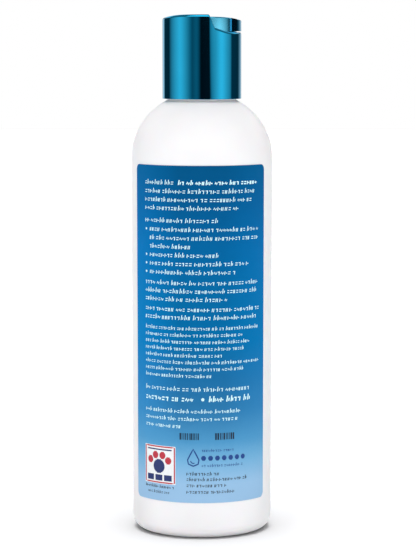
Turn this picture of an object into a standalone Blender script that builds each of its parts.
"""Shampoo bottle with a metallised disc-top cap, for grooming pets.

The bottle stands on its base at the origin, +Z up.  The disc's spout points along +X and its
press pad along -X.  The back label faces -Y and the front label faces +Y.
"""

import math

import bmesh
import bpy
from mathutils import Matrix, Vector

MM = 0.001

# ---------------------------------------------------------------- bottle, in millimetres
BODY_RADIUS_TOP = 27.45
BODY_RADIUS_LOW = 27.2
BODY_WALL = 1.1
BASE_FILLET = 5.2
INNER_FILLET = 2.5
BASE_FLAT_INNER = 20.0
BASE_PUSH_UP = 1.6
BASE_WALL = 1.5
SHOULDER_Z = 146.5
DOME_HEIGHT = 25.5
BEAD_RADIUS = 13.45
BEAD_TOP_Z = 169.3
NECK_RADIUS = 12.5
NECK_BORE = 10.8
LIP_Z = 185.7
LIP_CHAMFER = 0.4

# ---------------------------------------------------------------- screw thread (28 mm neck, 6 turns an inch)
THREAD_LEAD = 25.4 / 6
NECK_THREAD_CREST = 13.35
NECK_THREAD_START_Z = 174.6
NECK_THREAD_TURNS = 1.5
CAP_THREAD_CREST = 12.9
CAP_THREAD_TURNS = 1.25
THREAD_FLANK = 0.45
THREAD_CREST_WIDTH = 0.7
THREAD_FLANK_GAP = 0.35
THREAD_ROOT_OVERLAP = 0.25
THREAD_RUN_OUT = math.radians(24)

# ---------------------------------------------------------------- cap
CAP_RADIUS = 15.4
CAP_BOTTOM_Z = 169.2
CAP_TOP_Z = 201.7
SHELL_WALL = 0.7
SHELL_EDGE = 0.5
FIT_GAP = 0.3
CAP_BODY_RADIUS = CAP_RADIUS - SHELL_WALL - FIT_GAP
CAP_BORE = 13.75
LINER_THICKNESS = 0.8
DECK_UNDER_Z = LIP_Z + LINER_THICKNESS + 2 * FIT_GAP
DECK_THICKNESS = 1.2
DECK_TOP_Z = DECK_UNDER_Z + DECK_THICKNESS
COLLAR_TOP_Z = DECK_TOP_Z + 1.2
COLLAR_INNER = 13.6
CROWN = 1.3
NOTCH_START_X = 2.6
NOTCH_STEEP = (4.7, 2.8)
NOTCH_SHALLOW = (2.1, 9.5)

# ---------------------------------------------------------------- disc, its hinge and its valve
PIVOT_Z = 197.4
DISC_RADIUS = 13.6
DISC_DROP = 0.85
DISC_PLATE = 1.2
SKIRT_WALL = 1.1
SKIRT_LOW_PRESS_Z = 195.3
SKIRT_LOW_SPOUT_Z = 193.2
SPOUT_HALF_WIDTH = 7.2
SPOUT_LOW_Z = CAP_TOP_Z - NOTCH_STEEP[0] - NOTCH_SHALLOW[0] + 0.4
HUB_RADIUS = 5.0
HUB_HALF_WIDTH = 5.0
DISC_TILT = math.radians(24)
CHANNEL_RADIUS = 1.3
CHANNEL_WALL_RADIUS = 2.4
TRUNNION_RADIUS = 1.2
TRUNNION_END = 14.15
SOCKET_RADIUS = 1.5
EAR_HALF_WIDTH = 2.4
EAR_INNER_Y = 13.85
EAR_TOP_Z = PIVOT_Z + 2.2
SEAT_RADIUS = HUB_RADIUS + FIT_GAP
SEAT_OUTER_RADIUS = 4.2
SEAT_TOP_Z = PIVOT_Z - 4.1
ORIFICE_RADIUS = 1.5
SEAT_BORE_RADIUS = 2.2

# ---------------------------------------------------------------- labels
LABEL_GAP = 0.1
LABEL_THICKNESS = 0.15
LABEL_LOW_Z = 14.4
LABEL_TOP_Z = 144.4
LABEL_HALF_ANGLE = math.radians(62.8)
LABEL_SKEW = math.radians(-2.5)
LABEL_CORNER = 2.2
LABEL_CORNER_STEPS = 4

ROUND_STEPS = 64
SMOOTH_ANGLE = math.radians(35)


def clear_scene():
    for obj in list(bpy.data.objects):
        bpy.data.objects.remove(obj, do_unlink=True)


def plastic(name, color, roughness, metallic=0.0):
    """One Principled material."""
    material = bpy.data.materials.new(name)
    material.use_nodes = True
    shader = material.node_tree.nodes["Principled BSDF"]
    shader.inputs["Base Color"].default_value = (*color, 1.0)
    shader.inputs["Roughness"].default_value = roughness
    shader.inputs["Metallic"].default_value = metallic
    material.diffuse_color = (*color, 1.0)
    return material


def add_object(name, mesh, material=None):
    obj = bpy.data.objects.new(name, mesh)
    bpy.context.scene.collection.objects.link(obj)
    if material is not None:
        mesh.materials.append(material)
    return obj


def finish_mesh(name, bm):
    """Turn a closed bmesh in millimetres into a mesh in metres whose faces point outwards."""
    bmesh.ops.recalc_face_normals(bm, faces=bm.faces)
    bmesh.ops.scale(bm, vec=(MM, MM, MM), verts=bm.verts)
    mesh = bpy.data.meshes.new(name)
    bm.to_mesh(mesh)
    bm.free()
    return mesh


def shade(obj):
    obj.data.shade_smooth()
    obj.data.set_sharp_from_angle(angle=SMOOTH_ANGLE)


def circle_angles(steps=ROUND_STEPS):
    return [2 * math.pi * i / steps for i in range(steps)]


def sweep_grid(columns):
    """Close a ring of columns of points, each a closed loop, into a solid of quads."""
    bm = bmesh.new()
    verts = [[bm.verts.new(point) for point in column] for column in columns]
    for i, column in enumerate(verts):
        following = verts[(i + 1) % len(verts)]
        for j in range(len(column)):
            k = (j + 1) % len(column)
            bm.faces.new((column[j], column[k], following[k], following[j]))
    return bm


def lathe(profile, steps=ROUND_STEPS):
    """Turn an open profile of (radius, z), whose ends lie on the axis, about Z."""
    bm = bmesh.new()
    first = bm.verts.new((0.0, 0.0, profile[0][1]))
    last = bm.verts.new((0.0, 0.0, profile[-1][1]))
    rings = []
    for radius, z in profile[1:-1]:
        ring = [bm.verts.new((radius * math.cos(a), radius * math.sin(a), z)) for a in circle_angles(steps)]
        rings.append(ring)
    for i in range(steps):
        j = (i + 1) % steps
        bm.faces.new((first, rings[0][j], rings[0][i]))
        bm.faces.new((last, rings[-1][i], rings[-1][j]))
        for lower, upper in zip(rings, rings[1:]):
            bm.faces.new((lower[i], lower[j], upper[j], upper[i]))
    return bm


def turned_ring(profile, steps=ROUND_STEPS):
    """Turn a closed profile of (radius, z), clear of the axis, about Z."""
    columns = [
        [(radius * math.cos(a), radius * math.sin(a), z) for radius, z in profile]
        for a in circle_angles(steps)
    ]
    return sweep_grid(columns)


def arc(center, radii, start, end, steps):
    """Points of an ellipse arc in the (radius, z) plane, both ends included."""
    points = []
    for i in range(steps + 1):
        a = start + (end - start) * i / steps
        points.append((center[0] + radii[0] * math.cos(a), center[1] + radii[1] * math.sin(a)))
    return points


def rod(name, radius, start, end, steps=24):
    """A closed round rod between two points in millimetres."""
    start = Vector(start)
    end = Vector(end)
    direction = end - start
    bm = bmesh.new()
    bmesh.ops.create_cone(bm, cap_ends=True, segments=steps, radius1=radius, radius2=radius,
                          depth=direction.length)
    turn = direction.to_track_quat("Z", "Y").to_matrix().to_4x4()
    bmesh.ops.transform(bm, matrix=Matrix.Translation((start + end) / 2) @ turn, verts=bm.verts)
    return add_object(name, finish_mesh(name, bm))


def block(name, low, high):
    """A closed box between two corners in millimetres."""
    low = Vector(low)
    high = Vector(high)
    bm = bmesh.new()
    bmesh.ops.create_cube(bm, size=1.0)
    bmesh.ops.scale(bm, vec=high - low, verts=bm.verts)
    bmesh.ops.translate(bm, vec=(low + high) / 2, verts=bm.verts)
    return add_object(name, finish_mesh(name, bm))


def combine(target, tool, operation):
    """Apply one exact Boolean to the target and remove the tool."""
    modifier = target.modifiers.new(tool.name, "BOOLEAN")
    modifier.operation = operation
    modifier.object = tool
    modifier.solver = "EXACT"
    depsgraph = bpy.context.evaluated_depsgraph_get()
    result = bpy.data.meshes.new_from_object(target.evaluated_get(depsgraph))
    target.modifiers.clear()
    old = target.data
    target.data = result
    result.name = old.name
    bpy.data.meshes.remove(old)
    bpy.data.objects.remove(tool, do_unlink=True)


def set_origin(obj, point):
    """Move the object's origin to a point in millimetres and leave its surface in place."""
    offset = Vector(point) * MM
    obj.data.transform(Matrix.Translation(-offset))
    obj.location = offset


def smooth_step(t):
    t = min(max(t, 0.0), 1.0)
    return t * t * (3 - 2 * t)


# ================================================================ bottle

def body_radius(z):
    """Outer radius of the gently tapered body wall at a height."""
    share = min(max(z / SHOULDER_Z, 0.0), 1.0)
    return BODY_RADIUS_LOW + (BODY_RADIUS_TOP - BODY_RADIUS_LOW) * share


def dome_end_angle(radii, neck_radius):
    return math.acos(neck_radius / radii[0])


def bottle_profile():
    """Outer side from the base's middle to the lip, then the inner side back down."""
    outer_dome = (BODY_RADIUS_TOP, DOME_HEIGHT)
    inner_dome = (BODY_RADIUS_TOP - BODY_WALL, DOME_HEIGHT - BODY_WALL)
    fillet = arc((BODY_RADIUS_LOW - BASE_FILLET, BASE_FILLET), (BASE_FILLET, BASE_FILLET),
                 -math.pi / 2, 0.0, 6)
    dome = arc((0.0, SHOULDER_Z), outer_dome, 0.0, dome_end_angle(outer_dome, BEAD_RADIUS), 14)
    inner_arc = arc((0.0, SHOULDER_Z), inner_dome, dome_end_angle(inner_dome, NECK_BORE), 0.0, 12)
    inner_low = BODY_RADIUS_LOW - BODY_WALL
    inner_base_z = BASE_PUSH_UP + BASE_WALL
    inner_fillet = arc((inner_low - INNER_FILLET, inner_base_z + INNER_FILLET), (INNER_FILLET, INNER_FILLET),
                       0.0, -math.pi / 2, 4)
    outer = [(0.0, BASE_PUSH_UP), (0.5 * BASE_FLAT_INNER, 0.8 * BASE_PUSH_UP), (BASE_FLAT_INNER - 1.0, 0.4),
             (BASE_FLAT_INNER, 0.0)]
    neck = [(BEAD_RADIUS, BEAD_TOP_Z), (NECK_RADIUS, BEAD_TOP_Z + 0.6), (NECK_RADIUS, LIP_Z - LIP_CHAMFER),
            (NECK_RADIUS - LIP_CHAMFER, LIP_Z), (NECK_BORE + LIP_CHAMFER, LIP_Z),
            (NECK_BORE, LIP_Z - LIP_CHAMFER)]
    return outer + fillet + dome + neck + inner_arc + inner_fillet + [(0.0, inner_base_z)]


def thread_ridge(name, root, crest, start_z, turns):
    """A helical ridge that climbs anticlockwise seen from above and fades out at both ends."""
    per_turn = 40
    count = int(per_turn * turns) + 1
    inward = crest < root
    buried = root + THREAD_ROOT_OVERLAP if inward else root - THREAD_ROOT_OVERLAP
    bm = bmesh.new()
    sections = []
    for i in range(count):
        angle = 2 * math.pi * i / per_turn
        end_angle = 2 * math.pi * (count - 1) / per_turn
        height = smooth_step(min(angle, end_angle - angle) / THREAD_RUN_OUT)
        tip = root + (crest - root) * (0.1 + 0.9 * height)
        z = start_z + THREAD_LEAD * angle / (2 * math.pi)
        half_crest = THREAD_CREST_WIDTH / 2
        half_root = half_crest + THREAD_FLANK
        outline = [(buried, z - half_root), (tip, z - half_crest), (tip, z + half_crest), (buried, z + half_root)]
        sections.append([
            bm.verts.new((r * math.cos(angle), r * math.sin(angle), height_z)) for r, height_z in outline
        ])
    for before, after in zip(sections, sections[1:]):
        for j in range(4):
            k = (j + 1) % 4
            bm.faces.new((before[j], before[k], after[k], after[j]))
    bm.faces.new(sections[0])
    bm.faces.new(list(reversed(sections[-1])))
    return add_object(name, finish_mesh(name, bm))


def make_bottle(material):
    obj = add_object("bottle", finish_mesh("bottle", lathe(bottle_profile())), material)
    combine(obj, thread_ridge("neck_thread", NECK_RADIUS, NECK_THREAD_CREST, NECK_THREAD_START_Z,
                              NECK_THREAD_TURNS), "UNION")
    shade(obj)
    return obj


# ================================================================ labels

def label_corner_lift(distance):
    """How far a rounded corner holds the label's end back, at a distance from its side."""
    if distance >= LABEL_CORNER:
        return 0.0
    rest = LABEL_CORNER - distance
    return LABEL_CORNER - math.sqrt(LABEL_CORNER ** 2 - rest ** 2)


def make_label(name, center_angle, material):
    """A thin sheet bent round the body, with rounded corners."""
    arc_length = 2 * LABEL_HALF_ANGLE * BODY_RADIUS_TOP
    corner = [LABEL_CORNER * (1 - math.cos(math.pi / 2 * i / LABEL_CORNER_STEPS))
              for i in range(LABEL_CORNER_STEPS)]
    middle_steps = 22
    inner_length = arc_length - 2 * LABEL_CORNER
    middle = [LABEL_CORNER + inner_length * i / middle_steps for i in range(middle_steps + 1)]
    stations = corner + middle + [arc_length - s for s in reversed(corner)]
    levels = 6
    bm = bmesh.new()
    grids = []
    for offset in (LABEL_GAP, LABEL_GAP + LABEL_THICKNESS):
        grid = []
        for s in stations:
            angle = center_angle - LABEL_HALF_ANGLE + s / BODY_RADIUS_TOP
            lift = label_corner_lift(min(s, arc_length - s))
            low = LABEL_LOW_Z + lift
            high = LABEL_TOP_Z - lift
            column = []
            for i in range(levels + 1):
                z = low + (high - low) * i / levels
                r = body_radius(z) + offset
                column.append(bm.verts.new((r * math.cos(angle), r * math.sin(angle), z)))
            grid.append(column)
        grids.append(grid)
    inner, outer = grids
    last = len(stations) - 1
    for i in range(last):
        for j in range(levels):
            for grid in grids:
                bm.faces.new((grid[i][j], grid[i + 1][j], grid[i + 1][j + 1], grid[i][j + 1]))
        for j in (0, levels):
            bm.faces.new((inner[i][j], inner[i + 1][j], outer[i + 1][j], outer[i][j]))
    for i in (0, last):
        for j in range(levels):
            bm.faces.new((inner[i][j], inner[i][j + 1], outer[i][j + 1], outer[i][j]))
    obj = add_object(name, finish_mesh(name, bm), material)
    shade(obj)
    return obj


# ================================================================ cap shell

def crown(x):
    """How far the domed top falls at a distance in front of or behind the hinge line."""
    return CROWN * (x / CAP_RADIUS) ** 4


def notch_depth(x):
    """Depth of the spout notch below the top, which falls steeply and then runs out gently."""
    reach = x - NOTCH_START_X
    steep_depth, steep_length = NOTCH_STEEP
    shallow_depth, shallow_length = NOTCH_SHALLOW
    return steep_depth * smooth_step(reach / steep_length) + shallow_depth * smooth_step(reach / shallow_length)


def rim_z(x):
    return CAP_TOP_Z - max(crown(x), notch_depth(x))


def shell_angles():
    """Even steps round the shell, with finer ones where the rim drops into the notch."""
    coarse = math.radians(7.5)
    fine = math.radians(1.5)
    first = math.radians(60)
    last = math.radians(82.5)
    half = []
    angle = 0.0
    while angle < math.pi - 1e-6:
        half.append(angle)
        angle += fine if first - 1e-6 <= angle < last - 1e-6 else coarse
    return half + [math.pi] + [2 * math.pi - a for a in reversed(half[1:])]


def make_cap_shell(material):
    """The metallised sleeve, open at the bottom and at the top, with a rounded rim."""
    inner = CAP_RADIUS - SHELL_WALL
    columns = []
    for angle in shell_angles():
        top = rim_z(CAP_RADIUS * math.cos(angle))
        edge = arc((CAP_RADIUS - SHELL_EDGE, top - SHELL_EDGE), (SHELL_EDGE, SHELL_EDGE), 0.0, math.pi / 2, 3)
        outline = [(CAP_RADIUS - 0.15, CAP_BOTTOM_Z), (CAP_RADIUS, CAP_BOTTOM_Z + 0.15)]
        outline += edge + [(inner, top - 0.1), (inner, CAP_BOTTOM_Z)]
        columns.append([(r * math.cos(angle), r * math.sin(angle), z) for r, z in outline])
    obj = add_object("cap_shell", finish_mesh("cap_shell", sweep_grid(columns)), material)
    shade(obj)
    return obj


# ================================================================ cap body

def make_cap_body(material):
    """The inner cap: threaded skirt, deck with the valve seat, and two ears that hold the disc."""
    skirt_low = CAP_BOTTOM_Z + 0.3
    profile = [(CAP_BORE, skirt_low), (CAP_BODY_RADIUS, skirt_low), (CAP_BODY_RADIUS, COLLAR_TOP_Z),
               (COLLAR_INNER, COLLAR_TOP_Z), (COLLAR_INNER, DECK_TOP_Z), (SEAT_OUTER_RADIUS, DECK_TOP_Z),
               (SEAT_OUTER_RADIUS, SEAT_TOP_Z), (ORIFICE_RADIUS, SEAT_TOP_Z),
               (ORIFICE_RADIUS, SEAT_TOP_Z - 3.2), (SEAT_BORE_RADIUS, DECK_UNDER_Z),
               (CAP_BORE, DECK_UNDER_Z)]
    obj = add_object("cap_body", finish_mesh("cap_body", turned_ring(profile)), material)
    seat_cut = rod("seat_cut", SEAT_RADIUS, (0.0, -9.0, PIVOT_Z), (0.0, 9.0, PIVOT_Z), 48)
    combine(obj, seat_cut, "DIFFERENCE")
    start_z = NECK_THREAD_START_Z - 2 * (THREAD_CREST_WIDTH / 2 + THREAD_FLANK) - THREAD_FLANK_GAP + THREAD_FLANK
    ridge = thread_ridge("cap_thread", CAP_BORE, CAP_THREAD_CREST, start_z, CAP_THREAD_TURNS)
    combine(obj, ridge, "UNION")
    for side in (-1, 1):
        combine(obj, make_ear(side), "UNION")
    shade(obj)
    return obj


def make_ear(side):
    """An upright with a socket for one of the disc's trunnions."""
    bm = bmesh.new()
    steps = 6
    low = DECK_TOP_Z - 0.5
    corner = 1.4
    rings = []
    for z, half_width in ((low, EAR_HALF_WIDTH), (EAR_TOP_Z - corner, EAR_HALF_WIDTH),
                          (EAR_TOP_Z, EAR_HALF_WIDTH - corner)):
        xs = [-half_width + 2 * half_width * i / steps for i in range(steps + 1)]
        outer = [(x, side * (math.sqrt(CAP_BODY_RADIUS ** 2 - x ** 2) - 0.02), z) for x in xs]
        inner = [(half_width, side * EAR_INNER_Y, z), (-half_width, side * EAR_INNER_Y, z)]
        rings.append([bm.verts.new(point) for point in outer + inner])
    for lower, upper in zip(rings, rings[1:]):
        for i in range(len(lower)):
            j = (i + 1) % len(lower)
            bm.faces.new((lower[i], lower[j], upper[j], upper[i]))
    bm.faces.new(rings[0])
    bm.faces.new(list(reversed(rings[-1])))
    ear = add_object("ear", finish_mesh("ear", bm))
    socket = rod("socket", SOCKET_RADIUS, (0.0, side * 12.0, PIVOT_Z), (0.0, side * 16.0, PIVOT_Z))
    combine(ear, socket, "DIFFERENCE")
    return ear


def make_liner(material):
    """The soft ring that the deck presses onto the bottle's lip."""
    low = LIP_Z + FIT_GAP
    outer = CAP_BORE - 0.4
    inner = NECK_BORE - 1.0
    profile = [(inner, low), (outer, low), (outer, low + LINER_THICKNESS), (inner, low + LINER_THICKNESS)]
    obj = add_object("sealing_liner", finish_mesh("sealing_liner", turned_ring(profile)), material)
    shade(obj)
    return obj


# ================================================================ disc

def disc_top_z(x):
    return CAP_TOP_Z - DISC_DROP - crown(x)


def disc_columns(radius):
    """Columns round the disc's skirt: outer wall, crowned plate edge, plate underside, inner wall."""
    slope = (SKIRT_LOW_SPOUT_Z - SKIRT_LOW_PRESS_Z) / (2 * DISC_RADIUS)
    middle = (SKIRT_LOW_SPOUT_Z + SKIRT_LOW_PRESS_Z) / 2
    edge = 0.35
    columns = []
    for a in circle_angles():
        def point(r, z_of_x):
            x = r * math.cos(a)
            return (x, r * math.sin(a), z_of_x(x))
        columns.append([
            point(radius - SKIRT_WALL, lambda x: middle + slope * x),
            point(radius, lambda x: middle + slope * x),
            point(radius, lambda x: disc_top_z(x) - edge),
            point(radius - edge, disc_top_z),
            point(0.5 * radius, disc_top_z),
        ])
    return columns


def disc_blank():
    """The cup of the disc: a crowned round plate with a skirt, open underneath."""
    columns = disc_columns(DISC_RADIUS)
    bm = bmesh.new()
    verts = [[bm.verts.new(p) for p in column] for column in columns]
    inner_radius = DISC_RADIUS - SKIRT_WALL
    count = len(verts)
    top = bm.verts.new((0.0, 0.0, disc_top_z(0.0)))
    under = bm.verts.new((0.0, 0.0, disc_top_z(0.0) - DISC_PLATE))
    ceiling = []
    for a in circle_angles():
        ring = []
        for share in (1.0, 0.5):
            x = share * inner_radius * math.cos(a)
            y = share * inner_radius * math.sin(a)
            ring.append(bm.verts.new((x, y, disc_top_z(x) - DISC_PLATE)))
        ceiling.append(ring)
    for i in range(count):
        j = (i + 1) % count
        for k in range(len(verts[0]) - 1):
            bm.faces.new((verts[i][k], verts[j][k], verts[j][k + 1], verts[i][k + 1]))
        bm.faces.new((verts[i][-1], verts[j][-1], top))
        bm.faces.new((verts[i][0], verts[j][0], ceiling[j][0], ceiling[i][0]))
        bm.faces.new((ceiling[i][0], ceiling[j][0], ceiling[j][1], ceiling[i][1]))
        bm.faces.new((ceiling[i][1], ceiling[j][1], under))
    return bm


def spout_block():
    """The spout's end, which carries the cap's outer cylinder across the notch."""
    steps = 10
    inner_x = DISC_RADIUS - 3.0
    edge = 0.4
    sections = []
    for i in range(steps + 1):
        y = SPOUT_HALF_WIDTH * (2 * i / steps - 1)
        outer_x = math.sqrt(CAP_RADIUS ** 2 - y ** 2)
        top = disc_top_z(outer_x)
        sections.append([(inner_x, y, SPOUT_LOW_Z), (outer_x, y, SPOUT_LOW_Z), (outer_x, y, top - edge),
                         (outer_x - edge, y, disc_top_z(outer_x - edge)), (inner_x, y, disc_top_z(inner_x))])
    bm = bmesh.new()
    rings = [[bm.verts.new(p) for p in section] for section in sections]
    for before, after in zip(rings, rings[1:]):
        for j in range(len(before)):
            k = (j + 1) % len(before)
            bm.faces.new((before[j], before[k], after[k], after[j]))
    bm.faces.new(rings[0])
    bm.faces.new(list(reversed(rings[-1])))
    return add_object("spout_block", finish_mesh("spout_block", bm))


def make_disc(material):
    """The tilting disc: plate, skirt, spout, valve hub, channel and two trunnions in one piece."""
    obj = add_object("disc", finish_mesh("disc", disc_blank()), material)
    combine(obj, spout_block(), "UNION")
    hub = rod("hub", HUB_RADIUS, (0.0, -HUB_HALF_WIDTH, PIVOT_Z), (0.0, HUB_HALF_WIDTH, PIVOT_Z), 48)
    crop = block("hub_crop", (-8.0, -8.0, PIVOT_Z - 8.0), (8.0, 8.0, disc_top_z(0.0) - 0.5))
    combine(hub, crop, "INTERSECT")
    combine(obj, hub, "UNION")
    combine(obj, rod("channel_wall", CHANNEL_WALL_RADIUS, (2.0, 0.0, PIVOT_Z), (12.0, 0.0, PIVOT_Z)), "UNION")
    for side in (-1, 1):
        inner_y = side * (DISC_RADIUS - SKIRT_WALL / 2)
        pin = rod("trunnion", TRUNNION_RADIUS, (0.0, inner_y, PIVOT_Z), (0.0, side * TRUNNION_END, PIVOT_Z))
        combine(obj, pin, "UNION")
    outlet = rod("outlet", CHANNEL_RADIUS, (-1.0, 0.0, PIVOT_Z), (CAP_RADIUS + 1.0, 0.0, PIVOT_Z))
    combine(obj, outlet, "DIFFERENCE")
    reach = HUB_RADIUS + 1.0
    inlet_end = (-reach * math.sin(DISC_TILT), 0.0, PIVOT_Z - reach * math.cos(DISC_TILT))
    combine(obj, rod("inlet", CHANNEL_RADIUS, (0.0, 0.0, PIVOT_Z), inlet_end), "DIFFERENCE")
    shade(obj)
    set_origin(obj, (0.0, 0.0, PIVOT_Z))
    return obj


def main():
    clear_scene()
    white = plastic("bottle_white", (0.86, 0.86, 0.87), 0.32)
    label_blue = plastic("label_blue", (0.03, 0.2, 0.5), 0.4)
    metal_blue = plastic("metallised_teal", (0.01, 0.3, 0.45), 0.12, 1.0)
    cap_white = plastic("cap_white", (0.8, 0.8, 0.8), 0.4)
    liner_foam = plastic("liner_foam", (0.75, 0.75, 0.72), 0.7)
    make_bottle(white)
    make_label("back_label", -math.pi / 2 + LABEL_SKEW, label_blue)
    make_label("front_label", math.pi / 2, label_blue)
    make_cap_shell(metal_blue)
    make_cap_body(cap_white)
    make_liner(liner_foam)
    make_disc(metal_blue)


main()
